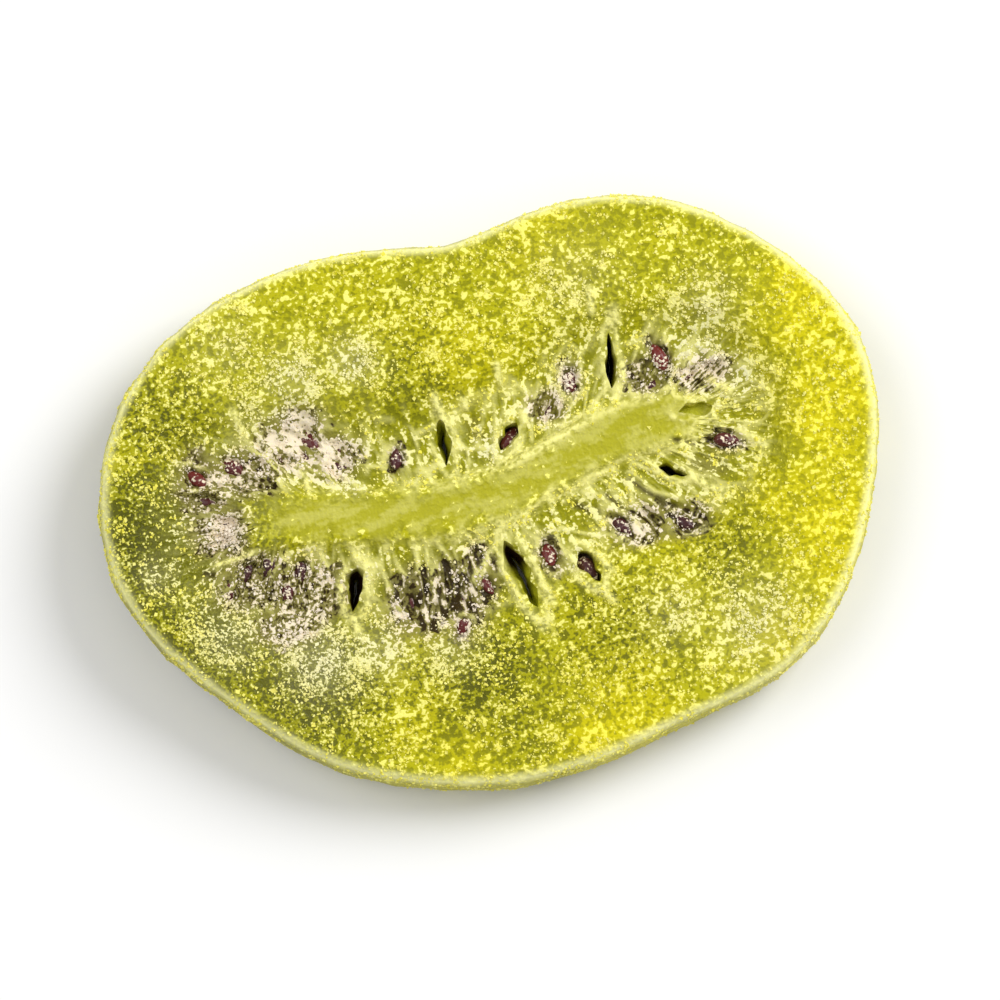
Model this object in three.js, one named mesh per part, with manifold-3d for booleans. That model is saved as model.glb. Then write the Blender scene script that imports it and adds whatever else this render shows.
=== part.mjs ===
// A slice of soft dried, sugared kiwi fruit, cut along the fruit's core and lying on its lower cut face.
// It is one solid. Both cut faces are sunken round the core, where the seed chambers have dried, and the
// peeled edge is rounded. A few chambers have split open right through the slice, some are blind pits, and
// small seeds stand a little proud of the chambers on both faces. The two ends have curled up in drying.
// Millimetres, +Z up. +X runs along the core. The origin is under the middle of the slice, on the surface
// that it rests on.

import * as THREE from "three";
import { mergeVertices } from "three/addons/utils/BufferGeometryUtils.js";
import Module from "manifold-3d";

const wasm = await Module();
wasm.setup();

// Driving dimensions of the whole slice.
const LENGTH = 52.2;
const WIDTH = 37.3;
const THICKNESS = 5.0;
const EDGE_ROUND = 1.3; // how far in from the outline the rounding of the edge reaches
const EDGE_SQUARENESS = 0.6; // 1 rounds the edge as an ellipse, less gives it flatter walls
const LIP_RISE = 0.3; // the outer flesh stands this much above the rest of the upper face
const LEFT_CURL = 1.5; // height that the left end has curled up
const RIGHT_CURL = 0.9;
const CURL_START = 10; // the slice lies flat between the two curls, to this far from its middle

// Where the outline swells beyond a plain ellipse, or falls short of it: direction, height and spread.
const SWELLS = [
  { name: "upper left shoulder", degrees: 143, rise: 2.1, spread: 26 },
  { name: "waist above the core", degrees: 84, rise: -2.0, spread: 19 },
  { name: "upper right shoulder", degrees: 44, rise: 0.6, spread: 16 },
  { name: "flat of the right end", degrees: -12, rise: -0.6, spread: 15 },
  { name: "lower right shoulder", degrees: -46, rise: 1.4, spread: 18 },
  { name: "belly below the core", degrees: -98, rise: 0.7, spread: 24 },
  { name: "flat of the lower left", degrees: -160, rise: -1.7, spread: 20 },
];

// The core: a band along the middle that sags between its two ends.
const CORE_LEFT = -15.6;
const CORE_RIGHT = 12.0;
const CORE_SAG = -0.5;
const CORE_LEFT_RISE = 2.8;
const CORE_RIGHT_RISE = 1.7;
const CORE_HALF_WIDTH = 1.2;

// The sunken ring of seed chambers, measured outwards from the middle of the core.
const CHAMBERS_FULL_FROM = 2.6;
const CHAMBERS_FULL_TO = 5.8;
const CHAMBERS_END = 8.8;
const CHAMBER_DEPTH = 0.9;
const LOWER_CHAMBER_DEPTH = 0.7;
const CORE_DEPTH = 0.35;

// Splits in the chambers: middle, length, width, the way they point, and the depth of those that are blind.
const SLITS = [
  { x: -0.2, y: -5.8, length: 5.0, width: 1.2, degrees: -82 },
  { x: -2.6, y: 4.0, length: 3.1, width: 0.9, degrees: -98 },
  { x: 9.5, y: 6.0, length: 3.7, width: 0.6, degrees: -106 },
  { x: -11.0, y: -3.6, length: 3.0, width: 1.1, degrees: -113 },
  { x: 11.3, y: -2.2, length: 2.0, width: 0.7, degrees: -37 },
  { x: 1.7, y: 3.1, length: 2.1, width: 1.0, degrees: 43, blind: 1.3 },
  { x: 4.1, y: -6.7, length: 2.5, width: 1.1, degrees: -72, blind: 1.3 },
  { x: 13.9, y: 1.2, length: 2.3, width: 1.0, degrees: -9, blind: 0.9 },
];

// Seeds: a pointed grain, half sunk in the flesh, at these sizes or a little smaller. Those that show most
// have their own places, and two lie down in blind pits, their middles this deep below the face.
const SEED_LENGTH = 2.1;
const SEED_WIDTH = 1.25;
const SEED_THICKNESS = 1.0;
const SEED_SHOWING = 0.38; // how far a seed stands out of the face
const SEED_SPACE = 1.5; // no two seeds lie nearer than this, middle to middle
const SLIT_SPACE = 2.1; // and no seed lies nearer than this to the middle of a slit
const NOTED_SEEDS = [
  { x: 12.7, y: 5.3, degrees: 100, size: 0.95 },
  { x: 1.9, y: -5.1, degrees: -87, size: 0.95 },
  { x: -18.9, y: 6.4, degrees: 130, size: 0.8 },
  { x: -5.0, y: -8.2, degrees: -130, size: 0.7 },
  { x: -2.6, y: -5.8, degrees: -75, size: 0.7 },
  { x: -5.9, y: 3.9, degrees: 75, size: 0.7 },
  { x: 6.6, y: 5.6, degrees: 80, size: 0.85 },
  { x: 15.3, y: -1.3, degrees: -20, size: 0.85 },
  { x: 7.0, y: -4.6, degrees: -60, size: 0.8 },
  { x: 11.1, y: -5.8, degrees: -50, size: 0.7 },
];
const PIT_SEEDS = [
  { x: 1.7, y: 3.1, degrees: 43, size: 0.85, deep: 0.9 },
  { x: 4.1, y: -6.7, degrees: -72, size: 0.9, deep: 0.9 },
];

// The chambers that still hold dark pulp, as ovals along X and Y. The other seeds lie inside these.
const DARK_CHAMBERS = [
  { x: -18.6, y: 5.6, reachX: 1.5, reachY: 1.9 },
  { x: -15.4, y: 5.8, reachX: 1.9, reachY: 1.5 },
  { x: -11.8, y: 6.9, reachX: 2.0, reachY: 1.7 },
  { x: -9.6, y: 5.2, reachX: 1.4, reachY: 1.2 },
  { x: -18.4, y: 2.4, reachX: 1.5, reachY: 1.6 },
  { x: -17.0, y: -1.3, reachX: 2.2, reachY: 1.5 },
  { x: -14.0, y: -2.9, reachX: 2.3, reachY: 1.9 },
  { x: -15.8, y: -4.6, reachX: 1.8, reachY: 1.3 },
  { x: -7.4, y: -5.6, reachX: 1.7, reachY: 1.9 },
  { x: -4.6, y: -6.0, reachX: 1.7, reachY: 2.1 },
  { x: -2.6, y: -4.8, reachX: 0.9, reachY: 1.6 },
  { x: 8.4, y: -5.0, reachX: 1.8, reachY: 1.2 },
  { x: 11.2, y: -5.6, reachX: 1.4, reachY: 1.0 },
  { x: 15.0, y: 3.4, reachX: 1.7, reachY: 1.0 },
  { x: 11.6, y: 4.4, reachX: 1.6, reachY: 1.1 },
  { x: 4.6, y: 4.4, reachX: 1.1, reachY: 0.9 },
];
const UPPER_RAYS = 150;
const LOWER_RAYS = 110;
const SEEDS_FROM = 2.6; // nearest and furthest that a seed lies from the middle of the core
const SEEDS_TO = 7.0;

// The surface grid: steps round the slice, rings from the core to the edge, and steps over the edge.
const AROUND = 96;
const FACE_RINGS = [0, 0.07, 0.14, 0.23, 0.33, 0.44, 0.56, 0.7, 0.85, 1];
const EDGE_STEPS = 6;

const GOLDEN_PART = 0.618034;
const PLASTIC_PART = 0.754878;

const radians = THREE.MathUtils.degToRad;
const smooth = THREE.MathUtils.smoothstep;
const part = (number) => number - Math.floor(number);

// ---- The outline, seen from above ----

function outlineRadius(angle) {
  const ellipse = 1 / Math.hypot(Math.cos(angle) / (LENGTH / 2), Math.sin(angle) / (WIDTH / 2));
  const swell = SWELLS.reduce((sum, { degrees, rise, spread }) => {
    const away = angle - radians(degrees);
    const turn = Math.atan2(Math.sin(away), Math.cos(away)) / radians(spread);
    return sum + rise * Math.exp(-turn * turn);
  }, 0);
  return ellipse + swell;
}

function outlinePoint(ray) {
  const angle = Math.atan2((WIDTH / 2) * Math.sin(ray), (LENGTH / 2) * Math.cos(ray));
  const radius = outlineRadius(angle);
  return new THREE.Vector2(radius * Math.cos(angle), radius * Math.sin(angle));
}

// ---- The core and the chambers round it ----

function coreHeight(x) {
  return CORE_SAG + CORE_LEFT_RISE * smooth(-x, 2, 17) + CORE_RIGHT_RISE * smooth(x, -1, 8);
}

function corePoint(ray) {
  const middle = (CORE_LEFT + CORE_RIGHT) / 2;
  const x = middle + ((CORE_RIGHT - CORE_LEFT) / 2) * Math.cos(ray);
  return new THREE.Vector2(x, coreHeight(x));
}

function distanceFromCore(x, y) {
  const nearest = THREE.MathUtils.clamp(x, CORE_LEFT, CORE_RIGHT);
  return Math.hypot(x - nearest, y - coreHeight(nearest));
}

// How far a cut face is sunk: a little over the core, most over the chambers, and nothing over the flesh.
function sunk(x, y, chamberDepth) {
  const away = distanceFromCore(x, y);
  const chamber = smooth(away, CORE_HALF_WIDTH, CHAMBERS_FULL_FROM);
  const flesh = smooth(away, CHAMBERS_FULL_TO, CHAMBERS_END);
  return THREE.MathUtils.lerp(CORE_DEPTH, chamberDepth, chamber) * (1 - flesh);
}

// ---- The two cut faces ----

function curl(x) {
  return (
    LEFT_CURL * smooth(-x, CURL_START, LENGTH / 2) + RIGHT_CURL * smooth(x, CURL_START, LENGTH / 2)
  );
}

function upperFace(x, y) {
  const outwards = Math.hypot(x / (LENGTH / 2), y / (WIDTH / 2));
  const lip = LIP_RISE * smooth(outwards, 0.5, 0.85);
  return THICKNESS - LIP_RISE + lip + curl(x) - sunk(x, y, CHAMBER_DEPTH);
}

function lowerFace(x, y) {
  return curl(x) + sunk(x, y, LOWER_CHAMBER_DEPTH);
}

// ---- The flesh: a grid that starts on the core, crosses the upper face, rounds the edge and comes back ----

function sectionStations() {
  const upper = FACE_RINGS.map((ring) => ({ ring, tilt: Math.PI / 2 }));
  const edge = [];
  for (let step = 1; step < EDGE_STEPS; step++) {
    edge.push({ ring: 1, tilt: Math.PI / 2 - (Math.PI * step) / EDGE_STEPS });
  }
  const lower = [...FACE_RINGS].reverse().map((ring) => ({ ring, tilt: -Math.PI / 2 }));
  return [...upper, ...edge, ...lower];
}

function fleshPoint(ray, { ring, tilt }) {
  const core = corePoint(ray);
  const outline = outlinePoint(ray);
  const reach = core.distanceTo(outline);
  const inset = EDGE_ROUND * (1 - Math.abs(Math.cos(tilt)) ** EDGE_SQUARENESS);
  const place = core.clone().lerp(outline, (ring * (reach - inset)) / reach);
  const top = upperFace(place.x, place.y);
  const bottom = lowerFace(place.x, place.y);
  const rise = Math.sign(tilt) * Math.abs(Math.sin(tilt)) ** EDGE_SQUARENESS;
  const height = (top + bottom) / 2 + ((top - bottom) / 2) * rise;
  return new THREE.Vector3(place.x, place.y, height);
}

function fleshGeometry() {
  const stations = sectionStations();
  const grid = new THREE.PlaneGeometry(1, 1, AROUND, stations.length - 1);
  const position = grid.getAttribute("position");
  for (let row = 0; row < stations.length; row++) {
    for (let column = 0; column <= AROUND; column++) {
      const ray = (2 * Math.PI * (column % AROUND)) / AROUND;
      const point = fleshPoint(ray, stations[row]);
      position.setXYZ(row * (AROUND + 1) + column, point.x, point.y, point.z);
    }
  }
  return grid;
}

// ---- Slits: pointed ovals cut straight down ----

function slitGeometry({ x, y, length, width, degrees, blind }) {
  const oval = new THREE.Shape();
  oval.moveTo(-length / 2, 0);
  oval.quadraticCurveTo(0, -width, length / 2, 0);
  oval.quadraticCurveTo(0, width, -length / 2, 0);
  const depth = 4 * THICKNESS;
  const cutter = new THREE.ExtrudeGeometry(oval, { depth, bevelEnabled: false, curveSegments: 4 });
  cutter.rotateZ(radians(degrees));
  const floor = blind ? upperFace(x, y) - blind : -THICKNESS;
  return cutter.translate(x, y, floor);
}

// ---- Seeds ----

function seedGeometry({ x, y, degrees, size, deep }, upper) {
  const seed = new THREE.SphereGeometry(0.5, 5, 4).rotateZ(-Math.PI / 2);
  const position = seed.getAttribute("position");
  for (let i = 0; i < position.count; i++) {
    const along = position.getX(i) + 0.5;
    const slender = 1 - 0.45 * along * along;
    position.setXYZ(
      i,
      position.getX(i) * SEED_LENGTH,
      position.getY(i) * SEED_WIDTH * slender,
      position.getZ(i) * SEED_THICKNESS * slender,
    );
  }
  const sink = deep ?? size * (SEED_THICKNESS / 2 - SEED_SHOWING);
  const height = upper ? upperFace(x, y) - sink : lowerFace(x, y) + sink;
  return seed.scale(size, size, size).rotateZ(radians(degrees)).translate(x, y, height);
}

function inDarkChamber(place) {
  return DARK_CHAMBERS.some(
    ({ x, y, reachX, reachY }) => Math.hypot((place.x - x) / reachX, (place.y - y) / reachY) < 1,
  );
}

// One seed for each ray round the core, near and far by turns, where it falls in a dark chamber with room.
function raySeeds(rays, turn, taken) {
  const seeds = [];
  for (let i = 0; i < rays; i++) {
    const ray = (2 * Math.PI * (i + turn)) / rays;
    const away = SEEDS_FROM + (SEEDS_TO - SEEDS_FROM) * part(i * GOLDEN_PART);
    const core = corePoint(ray);
    const outwards = outlinePoint(ray).sub(core).normalize();
    const place = core.addScaledVector(outwards, away);
    const lean = 40 * (part(i * PLASTIC_PART) - 0.5);
    const degrees = THREE.MathUtils.radToDeg(outwards.angle()) + lean;
    const clear =
      inDarkChamber(place) &&
      [...taken, ...seeds].every((s) => Math.hypot(s.x - place.x, s.y - place.y) > SEED_SPACE) &&
      SLITS.every((s) => Math.hypot(s.x - place.x, s.y - place.y) > SLIT_SPACE);
    if (clear) {
      const size = 0.7 + 0.25 * part(i * PLASTIC_PART);
      seeds.push({ x: place.x, y: place.y, degrees, size });
    }
  }
  return seeds;
}

// ---- Joining and cutting ----

function solidOf(geometry) {
  const bare = geometry.clone();
  bare.deleteAttribute("normal");
  bare.deleteAttribute("uv");
  const merged = mergeVertices(bare, 1e-4);
  const vertProperties = new Float32Array(merged.getAttribute("position").array);
  const triVerts = new Uint32Array(merged.index.array);
  return new wasm.Manifold(new wasm.Mesh({ numProp: 3, vertProperties, triVerts }));
}

function geometryOf(solid) {
  const mesh = solid.getMesh();
  const geometry = new THREE.BufferGeometry();
  geometry.setAttribute("position", new THREE.BufferAttribute(mesh.vertProperties, mesh.numProp));
  geometry.setIndex(new THREE.BufferAttribute(mesh.triVerts, 1));
  geometry.computeVertexNormals();
  return geometry;
}

const upperSeeds = [...NOTED_SEEDS, ...raySeeds(UPPER_RAYS, 0.5, NOTED_SEEDS)];
const lowerSeeds = raySeeds(LOWER_RAYS, 0.25, []);

let slice = solidOf(fleshGeometry());
for (const seed of upperSeeds) {
  slice = slice.add(solidOf(seedGeometry(seed, true)));
}
for (const seed of lowerSeeds) {
  slice = slice.add(solidOf(seedGeometry(seed, false)));
}
for (const slit of SLITS) {
  slice = slice.subtract(solidOf(slitGeometry(slit)));
}
for (const seed of PIT_SEEDS) {
  slice = slice.add(solidOf(seedGeometry(seed, true)));
}

// ---- The finished slice, set over the origin ----

const sliceGeometry = geometryOf(slice);
sliceGeometry.computeBoundingBox();
const middle = sliceGeometry.boundingBox.getCenter(new THREE.Vector3());
sliceGeometry.translate(-middle.x, -middle.y, 0);

const driedFlesh = new THREE.MeshStandardMaterial({ color: 0xc8c13c, roughness: 0.45, metalness: 0 });
const kiwiSlice = new THREE.Mesh(sliceGeometry, driedFlesh);
kiwiSlice.name = "kiwi_slice";

const model = new THREE.Group();
model.add(kiwiSlice);

export default model;
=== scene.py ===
"""A slice of soft dried, sugared kiwi fruit, lying on a plain pale floor.

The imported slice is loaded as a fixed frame. The flesh, the seeds and the sugar are modelled round it.
Shapes are worked out in millimetres, in the frame of the slice's outline, and written in metres.
"""

import math

import bmesh
import bpy
import numpy as np
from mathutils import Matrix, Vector, noise


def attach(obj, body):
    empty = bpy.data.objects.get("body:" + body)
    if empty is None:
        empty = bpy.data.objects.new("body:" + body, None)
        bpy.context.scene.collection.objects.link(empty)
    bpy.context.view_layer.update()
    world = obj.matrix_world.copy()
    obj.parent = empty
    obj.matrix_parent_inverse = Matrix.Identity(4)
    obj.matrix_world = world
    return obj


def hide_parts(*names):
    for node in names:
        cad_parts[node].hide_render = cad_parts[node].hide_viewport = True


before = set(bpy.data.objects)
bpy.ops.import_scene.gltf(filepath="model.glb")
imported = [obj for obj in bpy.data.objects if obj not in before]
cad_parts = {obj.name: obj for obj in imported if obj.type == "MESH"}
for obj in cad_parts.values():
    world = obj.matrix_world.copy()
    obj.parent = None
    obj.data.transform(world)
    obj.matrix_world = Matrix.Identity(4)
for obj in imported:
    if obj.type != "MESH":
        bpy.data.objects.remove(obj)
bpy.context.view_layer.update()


# ---- The flesh -------------------------------------------------------------------------------------------
# One slice of peeled kiwi, cut along the core, soaked in sugar and dried until it is soft and leathery.
# Both cut faces have sunk round the core, where the seed chambers dried out, and both ends have curled up.
# It starts as a flat grid, wrapped on to the outline as a closed skin, roughened, and then split.

MM = 0.001
SLICE_LENGTH = 52.2
SLICE_WIDTH = 37.3
SLICE_THICKNESS = 5.0
EDGE_ROUND = 1.3
EDGE_SQUARENESS = 0.6
LIP_RISE = 0.3
LEFT_CURL = 1.5
RIGHT_CURL = 0.9
CURL_START = 10

# Where the outline swells beyond an ellipse or falls short of it: direction in degrees, rise, spread.
SWELLS = [
    (143, 2.1, 26),  # upper left shoulder
    (84, -2.0, 19),  # waist
    (44, 0.6, 16),  # upper right shoulder
    (-12, -0.6, 15),  # flat of the right end
    (-46, 1.4, 18),  # lower right shoulder
    (-98, 0.7, 24),  # belly
    (-160, -1.7, 20),  # flat of the lower left
]

CORE_LEFT = -15.6
CORE_RIGHT = 12.0
CORE_SAG = -0.5
CORE_LEFT_RISE = 2.8
CORE_RIGHT_RISE = 1.7
CORE_HALF_WIDTH = 1.2
CORE_DEPTH = 0.35
CHAMBERS_FULL_FROM = 2.6
CHAMBERS_FULL_TO = 5.8
CHAMBERS_END = 8.8
UPPER_CHAMBER_DEPTH = 0.9
LOWER_CHAMBER_DEPTH = 0.7

# Splits: x, y, length, width, the way they point in degrees, the depth of those that are blind, how much
# wider they are at their far end, and how far painted shade reaches inside them from their start.
SPLITS = [
    (-0.2, -5.8, 5.0, 1.2, -82, None, -0.1, 0.4),
    (-2.6, 4.0, 3.1, 0.9, -98, None, -0.2, 0.0),
    (9.5, 6.0, 3.7, 0.6, -106, None, 0.2, 0.8),
    (-11.0, -3.6, 3.0, 1.1, -113, None, -0.6, 1.0),
    (11.3, -2.2, 2.0, 0.7, -37, None, -0.3, 1.0),
    (1.7, 3.1, 2.1, 1.0, 43, 1.3, 0.0, 0.9),
    (4.1, -6.7, 2.5, 1.1, -72, 1.3, -0.2, 0.9),
    (13.9, 1.2, 2.3, 1.0, -9, 0.9, 0.2, -0.2),
]

RAYS = 600  # steps round the slice
UPPER_RINGS = 110  # steps from the core to the edge, over the edge, and back to the core underneath
EDGE_RINGS = 18
LOWER_RINGS = 26
STATIONS = UPPER_RINGS + EDGE_RINGS + LOWER_RINGS
WELD = 0.0015  # points nearer than this are one, along the seam and the core


def smooth(value, low, high):
    share = np.clip((value - low) / (high - low), 0, 1)
    return share * share * (3 - 2 * share)


def hump(value, middle, spread):
    return np.exp(-(((value - middle) / spread) ** 2))


def outline_radius(angle):
    radius = 1 / np.hypot(np.cos(angle) / (SLICE_LENGTH / 2), np.sin(angle) / (SLICE_WIDTH / 2))
    for degrees, rise, spread in SWELLS:
        away = angle - math.radians(degrees)
        radius = radius + rise * hump(np.arctan2(np.sin(away), np.cos(away)), 0, math.radians(spread))
    return radius


def outline_point(ray):
    angle = np.arctan2(SLICE_WIDTH * np.sin(ray), SLICE_LENGTH * np.cos(ray))
    radius = outline_radius(angle)
    return radius * np.cos(angle), radius * np.sin(angle)


def core_line(x):
    return CORE_SAG + CORE_LEFT_RISE * smooth(-x, 2, 17) + CORE_RIGHT_RISE * smooth(x, -1, 8)


def core_point(ray):
    x = (CORE_LEFT + CORE_RIGHT) / 2 + (CORE_RIGHT - CORE_LEFT) / 2 * np.cos(ray)
    return x, core_line(x)


def away_from_core(x, y):
    nearest = np.clip(x, CORE_LEFT, CORE_RIGHT)
    return np.hypot(x - nearest, y - core_line(nearest))


def sunk(x, y, chamber_depth):
    away = away_from_core(x, y)
    chamber = smooth(away, CORE_HALF_WIDTH, CHAMBERS_FULL_FROM)
    flesh = smooth(away, CHAMBERS_FULL_TO, CHAMBERS_END)
    return (CORE_DEPTH + (chamber_depth - CORE_DEPTH) * chamber) * (1 - flesh)


def curl(x):
    left = LEFT_CURL * smooth(-x, CURL_START, SLICE_LENGTH / 2)
    return left + RIGHT_CURL * smooth(x, CURL_START, SLICE_LENGTH / 2)


def upper_face(x, y):
    outwards = np.hypot(x / (SLICE_LENGTH / 2), y / (SLICE_WIDTH / 2))
    lip = LIP_RISE * smooth(outwards, 0.5, 0.85)
    return SLICE_THICKNESS - LIP_RISE + lip + curl(x) - sunk(x, y, UPPER_CHAMBER_DEPTH)


def lower_face(x, y):
    return curl(x) + sunk(x, y, LOWER_CHAMBER_DEPTH)


def outline_middle():
    x, y = outline_point(np.linspace(0, 2 * math.pi, 3600))
    return (x.min() + x.max()) / 2, (y.min() + y.max()) / 2


MIDDLE_X, MIDDLE_Y = outline_middle()


def bare_points(mesh):
    flat = np.empty(len(mesh.vertices) * 3, np.float64)
    mesh.vertices.foreach_get("co", flat)
    return flat.reshape(-1, 3)


def read_points(mesh):
    """The mesh's vertices in millimetres, in the frame of the outline."""
    return bare_points(mesh) / MM + (MIDDLE_X, MIDDLE_Y, 0)


def write_points(mesh, points):
    mesh.vertices.foreach_set("co", ((points - (MIDDLE_X, MIDDLE_Y, 0)) * MM).ravel())
    mesh.update()


def read_normals(mesh):
    flat = np.empty(len(mesh.vertices) * 3, np.float32)
    mesh.vertex_normals.foreach_get("vector", flat)
    return flat.reshape(-1, 3).astype(np.float64)


def write_mask(mesh, name, values):
    mask = mesh.attributes.new(name, "FLOAT", "POINT")
    mask.data.foreach_set("value", values.astype(np.float32))


def wobble(points, size):
    """Smooth noise from -1 to 1 at each point, with lumps about this many millimetres across."""
    return np.array([noise.noise(Vector(point)) for point in points / size])


def ray_of(x, y):
    """The ray, from the core to the outline, that runs through each point."""
    ray = np.arctan2(y / SLICE_WIDTH, x / SLICE_LENGTH)
    for _ in range(16):
        start_x, start_y = core_point(ray)
        end_x, end_y = outline_point(ray)
        heading = np.arctan2(end_y - start_y, end_x - start_x)
        aside = (y - start_y) * np.cos(heading) - (x - start_x) * np.sin(heading)
        ray = ray + aside / (10 + np.hypot(x - start_x, y - start_y))
    return ray


def ray_space(x, y, stretch):
    """A place for each point in which noise is stretched along the fibres, from the core to the skin."""
    around = 14.8
    ray = ray_of(x, y)
    outwards = away_from_core(x, y) / stretch
    return np.stack([around * np.cos(ray), around * np.sin(ray), outwards], axis=1)


def local_place(x, y, middle_x, middle_y, degrees):
    """How far along and aside of a direction each point lies, from a middle."""
    turn = math.radians(degrees)
    along = (x - middle_x) * math.cos(turn) + (y - middle_y) * math.sin(turn)
    aside = (y - middle_y) * math.cos(turn) - (x - middle_x) * math.sin(turn)
    return along, aside


bpy.ops.object.select_all(action="DESELECT")
bpy.ops.mesh.primitive_grid_add(x_subdivisions=RAYS, y_subdivisions=STATIONS, size=1)
flesh = bpy.context.object
flesh.name = "flesh"
flesh.data.name = "flesh"

grid_points = bare_points(flesh.data)
ray = 2 * math.pi * (grid_points[:, 0] + 0.5)
step = np.rint((grid_points[:, 1] + 0.5) * STATIONS)
over_edge = np.clip((step - UPPER_RINGS) / EDGE_RINGS, 0, 1)
ring = np.minimum(step / UPPER_RINGS, 1)
ring = np.minimum(ring, (STATIONS - step) / LOWER_RINGS)

core_x, core_y = core_point(ray)
rim_x, rim_y = outline_point(ray)
reach = np.hypot(rim_x - core_x, rim_y - core_y)
section_turn = math.pi / 2 - math.pi * over_edge
power = 2 / EDGE_SQUARENESS
across = np.abs(np.cos(section_turn))
upwards = np.abs(np.sin(section_turn))
section_radius = (across**power + upwards**power) ** (-1 / power)
inset = EDGE_ROUND * (1 - across * section_radius)
share = ring * (reach - inset) / reach
x = core_x + (rim_x - core_x) * share
y = core_y + (rim_y - core_y) * share
top = upper_face(x, y)
bottom = lower_face(x, y)
rise = np.sign(section_turn) * upwards * section_radius
z = (top + bottom) / 2 + (top - bottom) / 2 * rise
write_points(flesh.data, np.stack([x, y, z], axis=1))

bpy.ops.object.mode_set(mode="EDIT")
bpy.ops.mesh.select_all(action="SELECT")
bpy.ops.mesh.remove_doubles(threshold=WELD * MM)
bpy.ops.mesh.normals_make_consistent(inside=False)
bpy.ops.object.mode_set(mode="OBJECT")

# The chambers that still hold dark pulp and most of the seeds: x, y, reach along X, reach along Y.
DARK_SPOTS = [
    (-18.6, 5.6, 1.5, 1.9),
    (-15.4, 5.8, 1.9, 1.5),
    (-11.8, 6.9, 2.0, 1.7),
    (-9.6, 5.2, 1.4, 1.2),
    (-18.4, 2.4, 1.5, 1.6),
    (-17.0, -1.3, 2.2, 1.5),
    (-14.0, -2.9, 2.3, 1.9),
    (-15.8, -4.6, 1.8, 1.3),
    (-7.4, -5.6, 1.7, 1.9),
    (-4.6, -6.0, 1.7, 2.1),
    (-2.6, -4.8, 0.9, 1.6),
    (8.4, -5.0, 1.8, 1.2),
    (11.2, -5.6, 1.4, 1.0),
    (15.0, 3.4, 1.7, 1.0),
    (11.6, 4.4, 1.6, 1.1),
    (4.6, 4.4, 1.1, 0.9),
]

# Where the sugar lies thickest: x, y, reach, strength.
SUGAR_DRIFTS = [
    (-10.9, 10.6, 2.4, 0.8),
    (-6.9, 10.8, 1.8, 0.9),
    (-14.2, 9.0, 2.2, 0.5),
    (-14.5, 14.0, 2.6, 0.4),
    (-14.5, -7.4, 2.8, 1.0),
    (-19.6, -4.6, 2.4, 0.7),
    (-10.6, -7.8, 2.2, 0.9),
    (-23.3, 0.8, 1.2, 0.7),
    (-11.9, 7.4, 2.1, 1.2),
    (-9.9, 5.2, 1.6, 1.2),
    (-9.3, 3.0, 1.2, 0.9),
    (-17.9, 2.8, 1.6, 1.0),
    (-16.9, 6.6, 1.5, 0.8),
    (-6.2, -9.2, 1.8, 0.6),
    (13.5, -13.6, 3.2, 0.7),
    (8.6, -11.4, 2.2, 0.5),
    (16.5, 7.4, 2.2, 0.6),
    (15.2, 4.4, 1.8, 1.0),
    (17.2, 2.2, 1.2, 0.8),
    (12.0, 3.2, 1.3, 0.6),
    (5.0, 2.4, 1.0, 0.7),
    (6.8, 6.0, 0.8, 0.9),
    (9.0, 12.0, 3.0, 0.4),
    (7.8, -5.4, 0.7, 0.8),
    (0.2, 2.6, 1.2, 0.7),
    (3.4, -6.0, 0.8, 1.2),
    (-10.2, -2.8, 0.9, 1.1),
    (-12.0, -2.8, 0.7, 1.0),
]

# Where the flesh is golden yellow, partly riper flesh and partly a painted glow of light through the thin
# ends: x, y, reach, strength.
GOLDEN_GLOW_SPOTS = [
    (22.7, 6.6, 4.0, 1.0),
    (23.0, -2.0, 5.0, 0.9),
    (19.6, -8.4, 5.0, 0.8),
    (15.6, -15.5, 4.0, 0.7),
    (2.0, -17.4, 5.0, 0.8),
    (-7.0, -16.4, 4.0, 0.7),
    (-23.0, -3.6, 1.6, 0.8),
    (10.0, 15.0, 4.0, 0.5),
    (0.0, 9.0, 3.0, 0.3),
]

# Where the flesh is darker olive, partly greener flesh and partly painted shade, most of it on the left end:
# x, y, reach, strength.
UNRIPE_AND_SHADE_SPOTS = [
    (-22.0, 2.5, 6.0, 1.0),
    (-20.5, -3.5, 5.0, 1.0),
    (-15.0, -8.6, 5.0, 0.9),
    (-20.0, 10.0, 4.0, 0.6),
    (-5.0, -11.0, 5.0, 0.65),
    (4.5, -11.0, 5.0, 0.45),
    (-3.0, -14.5, 4.0, 0.4),
    (13.0, -8.0, 3.0, 0.4),
    (-3.0, 8.5, 4.0, 0.35),
    (8.0, 9.0, 3.0, 0.25),
]

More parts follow.
